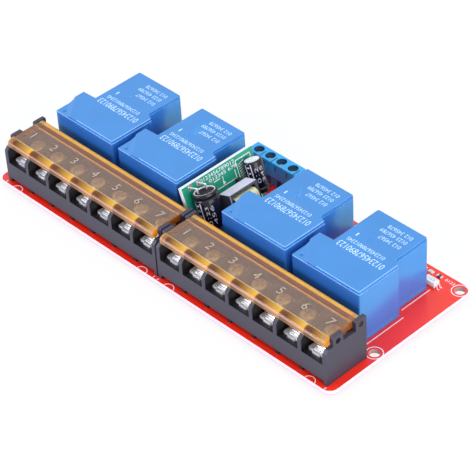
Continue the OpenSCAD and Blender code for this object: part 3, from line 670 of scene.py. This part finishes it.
boardPrint = {
    "top": 3.4,
    "height": 0.025,
    "line": 0.27,
    "frontEdge": -30.83,
    "halfCircles": (-65.55, -5.55, 6.55, 66.55),
    "halfCircleY": -31.15,
    "halfCircleRadius": 2.0,
    "blockEnds": (-71.3, -0.5, 1.3, 72.3),
    "blockFront": -29.8,
    "holes": [(x, y) for x in (-72.5, 72.5) for y in (-9.65, 27.95)],
    "ringRadius": 2.6,
    "halfLength": 74.97,
    "relayLines": [
        # points in a relay's own axes
        [(28.45, 1.7), (28.45, 17.7)],
        [(25.85, 19.7), (25.85, 32.4)],
        [(4.25, 32.4), (4.25, 14.8)],
        [(-1.0, 12.6), (-1.0, 1.7)],
    ],
    "labels": [("0123", (x, 28.9), (3.6, 1.2)) for x in (-39.5, 37.7, 67.7)],
}


def printBoard():
    look = boardPrint
    bm = bmesh.new()
    top = Matrix.Translation((0, 0, look["top"]))
    line, height = look["line"], look["height"]
    # each half circle starts and ends two degrees inside the board's front edge
    radius, rise = look["halfCircleRadius"], look["frontEdge"] - look["halfCircleY"]
    first = math.degrees(math.asin(rise / radius)) + 2
    for x in look["halfCircles"]:
        addRing(bm, (x, look["halfCircleY"]), radius, line, height, top, first, 180 - first, 24)
    for x in look["blockEnds"]:
        addBar(bm, (x, look["frontEdge"]), (x, look["blockFront"]), line, height, top)
    for centre in look["holes"]:
        addRing(bm, centre, look["ringRadius"], line, height, top)
    # the rings are cut off where they would pass the board's ends
    for end in (-1, 1):
        bmesh.ops.bisect_plane(bm, geom=bm.verts[:] + bm.edges[:] + bm.faces[:], dist=0.0001,
                               plane_co=(end * look["halfLength"], 0, 0), plane_no=(end, 0, 0),
                               clear_outer=True)
    for corner in relayCorners:
        for points in look["relayLines"]:
            addLine(bm, points, line, height, top @ Matrix.Translation((*corner, 0)))
    for words, middle, size in look["labels"]:
        addDigits(bm, words, middle, size, height, top)
    finishPiece("boardPrint", bm, "white ink")


# the solid feet along the end walls of the terminal blocks
skirtLook = {
    "x": (-70.55, -0.55, 1.55, 71.55),
    "y": (-29.45, -12.75),
    "thickness": 1.46,
    "height": 1.72,
}


def addSkirts():
    look = skirtLook
    bm = bmesh.new()
    for x in look["x"]:
        addBar(bm, (x, look["y"][0]), (x, look["y"][1]), look["thickness"], look["height"],
               Matrix.Translation((0, 0, boardPrint["top"])))
    bmesh.ops.bevel(bm, geom=bm.edges[:], offset=0.1, segments=2, profile=0.5, affect="EDGES", material=-1)
    finishPiece("housingSkirts", bm, "housing plastic")


# dark bars painted as the shade in the slits and slots between the parts of the signal terminal
seamShadeLook = {
    "slitX": [holeShadeLook["first"][0] + holeShadeLook["pitch"] * i - 0.65 for i in range(4)],
    "slitZ": (10.35, 12.35),
    "slitWidth": 0.46,
    "frontY": 25.66,
    "slotX": (-10.4, -5.32, 4.62),
    "slotY": (25.62, 28.55),
    "slotWidth": 0.34,
    "slotZ": 13.22,
    "height": 0.02,
}


def addSeamShade():
    look = seamShadeLook
    bm = bmesh.new()
    front = Matrix.Translation((0, look["frontY"], 0)) @ Matrix.Rotation(math.pi / 2, 4, "X")
    for x in look["slitX"]:
        addBar(bm, (x, look["slitZ"][0]), (x, look["slitZ"][1]), look["slitWidth"], look["height"], front)
    for x in look["slotX"]:
        addBar(bm, (x, look["slotY"][0]), (x, look["slotY"][1]), look["slotWidth"], look["height"],
               Matrix.Translation((0, 0, look["slotZ"])))
    finishPiece("signalSeams", bm, "relay base")


# tracks on the underside: from each contact to its relay blade or supply pin, and from the coil pins
trackLook = {
    "under": 1.8,
    "height": 0.03,
    "contactY": -15.6,
    "bendY": -10.0,
    "wide": 3.0,
    "narrow": 0.7,
    "step": 0.006,
    "power": [
        # x of the contact, x and y of the pin it leads to
        (-65.55, -62.95, -4.7), (-55.55, -53.75, -0.7), (-45.55, -44.55, -4.7),
        (-35.55, -32.95, -4.7), (-25.55, -23.75, -0.7), (-15.55, -14.55, -4.7),
        (16.55, 14.25, -4.7), (26.55, 23.45, -0.7), (36.55, 32.65, -4.7),
        (46.55, 44.25, -4.7), (56.55, 53.45, -0.7), (66.55, 62.65, -4.7),
    ],
    "mains": [
        [(-5.55, -15.6), (-5.55, -9.4), (0.7, -9.4)],
        [(6.55, -15.6), (6.55, -4.4), (0.7, -4.4)],
    ],
    "coilX": [(-58.45, -46.45), (-28.45, -16.45), (18.75, 30.75), (48.75, 60.75)],
    "coilY": 18.2,
}


def addTrack(bm, points, width):
    # each length lies a little lower than the one before, so that no two faces share a plane
    look = trackLook
    for index, (start, end) in enumerate(zip(points, points[1:])):
        lower = look["under"] - look["height"] - index * look["step"]
        addBar(bm, start, end, width, look["height"], Matrix.Translation((0, 0, lower)))
    for index, point in enumerate(points[1:-1]):
        lower = look["under"] - look["height"] - (len(points) + index) * look["step"]
        addRing(bm, point, width / 4, width / 2, look["height"], Matrix.Translation((0, 0, lower)),
                steps=24)


def addTracks():
    look = trackLook
    bm = bmesh.new()
    bend = look["bendY"]
    for contact, blade, y in look["power"]:
        points = [(contact, look["contactY"]), (contact, bend), (blade, bend + 1.5), (blade, y)]
        addTrack(bm, points, look["wide"])
    for points in look["mains"]:
        addTrack(bm, points, look["narrow"] * 2)
    y = look["coilY"]
    for left, right in look["coilX"]:
        addTrack(bm, [(left, y), (left, y + 5), (left + 3, y + 8)], look["narrow"])
        addTrack(bm, [(right, y), (right, y + 6), (left + 8, y + 6), (left + 8, y + 8)], look["narrow"])
    finishPiece("boardTracks", bm, "mask over copper")


coverDigits = {
    "size": (0, 3.1),
    "height": 0.16,
    "top": 19.69,
    "firstX": {"left": -65.55, "right": 6.55},
    "middleY": -21.4,
    "pitch": 10,
    "count": 7,
}


def numberCovers():
    look = coverDigits
    for side, first in look["firstX"].items():
        bm = bmesh.new()
        for i in range(look["count"]):
            addDigits(bm, str(i + 1), (first + i * look["pitch"], look["middleY"]), look["size"],
                      look["height"], Matrix.Translation((0, 0, look["top"])))
        finishPiece("coverDigits" + side.capitalize(), bm, "amber digits", side + "_cover")


relayPrint = {
    "top": 3.4 + 19.9,
    "height": 0.02,
    "rows": [
        # digits, left and right ends, front and rear in the relay's own axes
        ("01234567890123", (6.6, 24.6), (11.9, 14.4)),
        ("0123456789012345", (7.3, 22.2), (15.5, 17.1)),
        ("1", (8.2, 8.7), (18.7, 20.2)),
        ("012 34567", (13.8, 22.2), (22.3, 23.9)),
        ("0123 456789", (11.9, 22.2), (25.1, 26.7)),
        ("012 345678", (12.7, 22.2), (27.7, 29.3)),
    ],
    "ledge": 0.7,
    "highlightHeight": 0.012,
    "edges": [
        # painted highlight strips along the top edges: points in the relay's own axes, width, and whether
        # they lie down on the ledge
        ([(9.6, 0.62), (26.78, 0.62), (26.78, 17.0)], 0.20, False),
        ([(0.4, 0.16), (27.24, 0.16), (27.24, 17.0)], 0.14, True),
    ],
}


def printRelays():
    look = relayPrint
    for number, corner in enumerate(relayCorners, 1):
        bm = bmesh.new()
        place = Matrix.Translation((*corner, look["top"]))
        for words, across, deep in look["rows"]:
            middle = (sum(across) / 2, sum(deep) / 2)
            size = (across[1] - across[0], deep[1] - deep[0])
            addDigits(bm, words, middle, size, look["height"], place, 180)
        finishPiece("relayPrint" + str(number), bm, "relay ink")
        # thin light strips painted as highlights along the case's top edges
        shine = bmesh.new()
        for points, width, onLedge in look["edges"]:
            addLine(shine, points, width, look["highlightHeight"],
                    place @ Matrix.Translation((0, 0, -look["ledge"] if onLedge else 0)))
        finishPiece("relayEdgeHighlights" + str(number), shine, "relay edge highlight")


# the supply board's own axes: x out of its component face, y along it, z up it
supplyLook = {
    "lean": 20,
    "foot": (0.28, 0, 3.4 + 0.4 + 1.6 * math.sin(math.radians(20))),
    "height": 0.03,
    "line": 0.26,
    "box": [(1.0, 16.1), (3.6, 16.1)],
    "boxRest": [(9.9, 16.1), (9.9, 13.2), (1.0, 13.2)],
    "arrow": [(4.7, 16.3), (4.7, 14.6)],
    "arrowHead": ((4.7, 14.1), 0.75),
    "capacitorFrame": [(11.1, 11.5), (11.1, 18.5), (17.3, 18.5), (17.3, 11.5)],
    "hatch": (11.7, 14.2, 12.0, 18.0, 0.8),
    "rows": [
        ("0123456789012", (3.4, 18.8), (14.6, 1.25)),
        ("012345 678", (5.2, 17.25), (11.6, 1.1)),
    ],
    "pads": [(-7.95, 18.8), (-4.45, 18.8), (13.65, 5.4), (16.15, 5.4)],
    "pinPads": [(-9.4, 1.4), (-4.4, 1.4), (13.9, 1.4), (16.4, 1.4)],
    # radius and width of the rings
    "padRing": (0.75, 0.6),
    "pinPadRing": (0.8, 0.7),
}


def supplyFrame():
    lean = math.radians(-supplyLook["lean"])
    return Matrix.Translation(supplyLook["foot"]) @ Matrix.Rotation(lean, 4, "Y")


# turns a drawing's plane into the board's face: across becomes y, up becomes z, out becomes x
ontoFace = Matrix(((0, 0, 1, 0), (1, 0, 0, 0), (0, 1, 0, 0), (0, 0, 0, 1)))


def printSupply():
    look = supplyLook
    face = supplyFrame() @ ontoFace
    line, height = look["line"], look["height"]
    bm = bmesh.new()
    for name in ("box", "boxRest", "arrow", "capacitorFrame"):
        addLine(bm, look[name], line, height, face)
    tip, size = look["arrowHead"]
    head = bmesh.new()
    bmesh.ops.create_cone(head, cap_ends=True, segments=3, radius1=size, radius2=size, depth=height)
    join(bm, head, face @ Matrix.Translation((*tip, height / 2)) @ Matrix.Rotation(-math.pi / 2, 4, "Z"))
    left, right, low, high, step = look["hatch"]
    for i in range(int((high - low) / step)):
        addBar(bm, (left, low + i * step), (right, low + (i + 0.8) * step), line, height, face)
    for words, middle, size in look["rows"]:
        addDigits(bm, words, middle, size, height, face)
    finishPiece("supplyPrint", bm, "white ink")
    pads = bmesh.new()
    for place in look["pads"]:
        addRing(pads, place, *look["padRing"], height, face, steps=24)
    for place in look["pinPads"]:
        addRing(pads, place, *look["pinPadRing"], height, face, steps=24)
    finishPiece("supplyPads", pads, "solder")


# each can: foot of its axis in the supply board's axes, radius and length, and which end has the bung
canLooks = {
    "input": {"foot": (4.2, -6.2, 5.6), "radius": 4.0, "length": 12.0, "bungUp": True,
              "stripe": (-112, -72), "marks": 5, "digits": ("0123", "456"), "facing": -38},
    "output": {"foot": (3.4, 14.9, 6.5), "radius": 3.15, "length": 11.0, "bungUp": False,
               "stripe": (-90, -52), "marks": 4, "digits": ("012", "345"), "facing": -14},
}
# outlines of a can: distance in from its radius, and height above the closed end, or below the bung's
# end where it is negative
canOutlines = {
    "sleeve": [(0.7, 0.0), (0.62, 0.06), (0.35, 0.04), (0.12, 0.12), (0, 0.36), (0, -2.45),
               (0.1, -2.2), (0.4, -1.9), (0.1, -1.6), (0, -1.35), (0, -0.3), (0.15, -0.08),
               (0.45, -0.02), (0.55, -0.1)],
    "closedEnd": [(0.9, 0.1), (0.75, 0.04), (0.6, 0.08)],
    "rolledEnd": [(0.5, -0.1), (0.62, -0.03), (0.78, -0.12), (0.8, -0.5)],
    "bung": [(0.78, -0.45), (1.2, -0.4)],
}
# the bung's middle: radius and height from its end
bungMiddle = [(1.9, -0.4), (1.6, -0.55), (0, -0.55)]


def canOutline(name, radius, length):
    return [(radius - inset, height if height >= 0 else length + height)
            for inset, height in canOutlines[name]]


def addOnCan(bm, words, radius, angle, low, high, width, place):
    # digits that read up the can, wrapped round it
    flat = bmesh.new()
    addDigits(flat, words, (0, 0), (high - low, width), 0.02)
    for v in flat.verts:
        across, up, out = -v.co.y, v.co.x, v.co.z
        turn = math.radians(angle) + across / radius
        reach = radius + out
        v.co = Vector((reach * math.cos(turn), reach * math.sin(turn), (low + high) / 2 + up))
    join(bm, flat, place)


def makeCans():
    for name, look in canLooks.items():
        r, length = look["radius"], look["length"]
        place = supplyFrame() @ Matrix.Translation(look["foot"])
        if not look["bungUp"]:
            place = place @ Matrix.Translation((0, 0, length)) @ Matrix.Rotation(math.pi, 4, "X")
        # heights run from the closed end to the bung
        sleeve = bmesh.new()
        addTurned(sleeve, canOutline("sleeve", r, length), place, steps=72)
        finishPiece(name + "CapacitorSleeve", sleeve, "sleeve film",
                    replaced=[name + "_capacitor"], smoothAngle=50)
        metal = bmesh.new()
        addTurned(metal, [(0, 0.1)] + canOutline("closedEnd", r, length), place, steps=72)
        for turn in (0, 90):
            groove = place @ Matrix.Rotation(math.radians(turn + 45), 4, "Z")
            addBar(metal, (-r * 0.5, 0), (r * 0.5, 0), 0.25, 0.06,
                   groove @ Matrix.Translation((0, 0, 0.05)))
        addTurned(metal, canOutline("rolledEnd", r, length), place, steps=72)
        finishPiece(name + "CapacitorCan", metal, "can aluminium", smoothAngle=50)
        bung = bmesh.new()
        middle = [(across, length + height) for across, height in bungMiddle]
        addTurned(bung, canOutline("bung", r, length) + middle, place, steps=48)
        finishPiece(name + "CapacitorBung", bung, "bung rubber", smoothAngle=50)
        upright = supplyFrame() @ Matrix.Translation(look["foot"])
        ink = bmesh.new()
        first, last = look["stripe"]
        low, high = (0.5, length - 2.6) if look["bungUp"] else (2.6, length - 0.5)
        inside, outside = r + 0.004, r + 0.02
        for a, b in ((first, first + 6), (last - 6, last)):
            addTurned(ink, [(inside, low), (outside, low), (outside, high), (inside, high)], upright,
                      a, b, 4, closed=True)
        gap = (high - low) / look["marks"]
        for i in range(look["marks"]):
            bottom = low + (i + 0.5) * gap - 0.25
            addTurned(ink, [(inside, bottom), (outside, bottom), (outside, bottom + 0.5),
                            (inside, bottom + 0.5)], upright, first + 12, last - 12, 6, closed=True)
        for words, offset in zip(look["digits"], (-0.8, 0.9)):
            angle = look["facing"] + math.degrees(offset / r)
            addOnCan(ink, words, r, angle, low + 1.2, high - 1.4, 1.1, upright)
        finishPiece(name + "CapacitorPrint", ink, "sleeve ink")


# tape over the top of the core, and a thin pale strip down the side that is a painted highlight on the
# core's edge, in the supply board's axes
transformerLook = {
    "core": ((4.0, 9.1), (-1.4, 10.3), 13.6),
    "margin": 0.1,
    "layerHeight": 0.05,
    "strip": (0.3, 10.2),
    "sunk": 0.01,
}


def tapeAndLightCore():
    look = transformerLook
    (x0, x1), (y0, y1), top = look["core"]
    margin, height, middle = look["margin"], look["layerHeight"], (y0 + y1) / 2
    bm = bmesh.new()
    place = supplyFrame() @ Matrix.Translation((0, 0, top - look["sunk"]))
    addBar(bm, (x0 + margin, middle), (x1 - margin, middle), y1 - y0 - 2 * margin, height, place)
    # the side strip is a painted highlight
    side = supplyFrame() @ Matrix.Translation((x1 - look["sunk"], 0, 0)) @ ontoFace
    width, down = look["strip"]
    y = y0 + 2 * margin
    addBar(bm, (y, top - margin), (y, top - down), width, height, side)
    finishPiece("coreTape", bm, "core tape and highlight")


# print on the small parts: middles in mm from a relay's corner in x and the part's frame in y, and height
smallMarks = {
    "driverX": (-67.45, -43.45, 9.75, 39.75),
    "inkHeight": 0.02,
    "diodeBand": ((6.5, 25.6), 5.6, 2.5, 0.7),
    "digits": [
        # words, middle, height, size
        ("12", (13.5, 25.2), 4.5, (1.5, 0.7)),
        ("012", (17.9, 28.5), 3.92, (0.95, 0.6)),
        ("012", (24.1, 28.6), 3.92, (0.95, 0.6)),
    ],
    "coupler": ("123", (24.55, 24.45), 5.5, (2.2, 0.8)),
    "couplerDot": ((22.65, 23.65), 0.17, 0.2),
    "couplerInk": 0.015,
}


def markSmallParts():
    look = smallMarks
    light, dark = bmesh.new(), bmesh.new()
    for x in look["driverX"]:
        (u, v), z, wide, thick = look["diodeBand"]
        addBar(light, (x + u, v - wide / 2), (x + u, v + wide / 2), thick, look["inkHeight"],
               Matrix.Translation((0, 0, z)))
        for words, (u, v), z, size in look["digits"]:
            addDigits(light, words, (x + u, v), size, look["inkHeight"], Matrix.Translation((0, 0, z)))
        words, (u, v), z, size = look["coupler"]
        place = Matrix.Translation((0, 0, z))
        addDigits(dark, words, (x + u, v), size, look["couplerInk"], place)
        (u, v), radius, width = look["couplerDot"]
        addRing(dark, (x + u, v), radius, width, look["couplerInk"], place, steps=16)
    finishPiece("smallPartPrint", light, "chip ink")
    finishPiece("couplerPrint", dark, "chip ink")


stageLook = {
    "floorSize": 3.0,
    "floorColour": (0.90, 0.90, 0.90, 1),
    "ownLight": 0.86,
    "worldStrength": 0.70,
    "worldColour": (0.86, 0.90, 1.12, 1),
    "lamps": [
        # place, size, power, colour
        ((0.1, 0.05, 0.8), 0.9, 2.8, (1.00, 1.00, 1.00)),
        ((-0.45, -0.75, 0.34), 0.3, 4.0, (0.84, 0.93, 1.20)),
        ((0.8, -0.1, 0.3), 0.6, 4.6, (1.00, 1.00, 1.00)),
    ],
}


def seenDirectly(tree):
    rays = addNode(tree, "LightPath").outputs
    seen = calculate(tree, "MAXIMUM", rays["Is Camera Ray"], rays["Is Glossy Ray"])
    return calculate(tree, "MAXIMUM", seen, rays["Is Transmission Ray"])


def addStage():
    look = stageLook
    bm = bmesh.new()
    bmesh.ops.create_grid(bm, x_segments=1, y_segments=1, size=look["floorSize"] / 2)
    mesh = bpy.data.meshes.new("floor")
    bm.to_mesh(mesh)
    bm.free()
    floor = bpy.data.objects.new("floor", mesh)
    bpy.context.scene.collection.objects.link(floor)
    floor.location.z = -0.0001
    material = bpy.data.materials.new("floor")
    material.use_nodes = True
    tree = material.node_tree
    tree.nodes.clear()
    output = addNode(tree, "OutputMaterial")
    matte = addNode(tree, "BsdfDiffuse", {"Color": look["floorColour"]})
    glow = addNode(tree, "Emission", {"Color": (1, 1, 1, 1), "Strength": 1.0})
    amount = calculate(tree, "MULTIPLY", seenDirectly(tree), look["ownLight"])
    mix = addNode(tree, "MixShader", {0: amount, 1: matte.outputs[0], 2: glow.outputs[0]})
    tree.links.new(mix.outputs[0], output.inputs["Surface"])
    mesh.materials.append(material)

    world = bpy.data.worlds.new("studio")
    world.use_nodes = True
    tree = world.node_tree
    background = tree.nodes["Background"]
    seen = seenDirectly(tree)
    tree.links.new(mixColour(tree, seen, look["worldColour"], (1, 1, 1, 1)), background.inputs["Color"])
    strength = remap(tree, seen, look["worldStrength"], 1.0, 0, 1)
    tree.links.new(strength, background.inputs["Strength"])
    bpy.context.scene.world = world

    for number, (place, size, power, colour) in enumerate(look["lamps"], 1):
        lamp = bpy.data.lights.new("softbox" + str(number), "AREA")
        lamp.shape = "SQUARE"
        lamp.size = size
        lamp.energy = power
        lamp.color = colour
        softbox = bpy.data.objects.new(lamp.name, lamp)
        aim = Vector(place).to_track_quat("Z", "Y").to_matrix().to_4x4()
        softbox.matrix_world = Matrix.Translation(place) @ aim
        bpy.context.scene.collection.objects.link(softbox)
    bpy.context.scene.view_settings.view_transform = "Standard"


addCamera()
makePlastics()
makeMetals()
makeBoards()
makeCovers()
makeClearPlastics()
print("looks made:", len(looks))
softenNodes()
print("nodes softened")
printBoard()
addTracks()
addSkirts()
addSeamShade()
numberCovers()
printRelays()
printSupply()
print("print made")
makeCans()
tapeAndLightCore()
markSmallParts()
print("supply board and small parts dressed")
addStage()
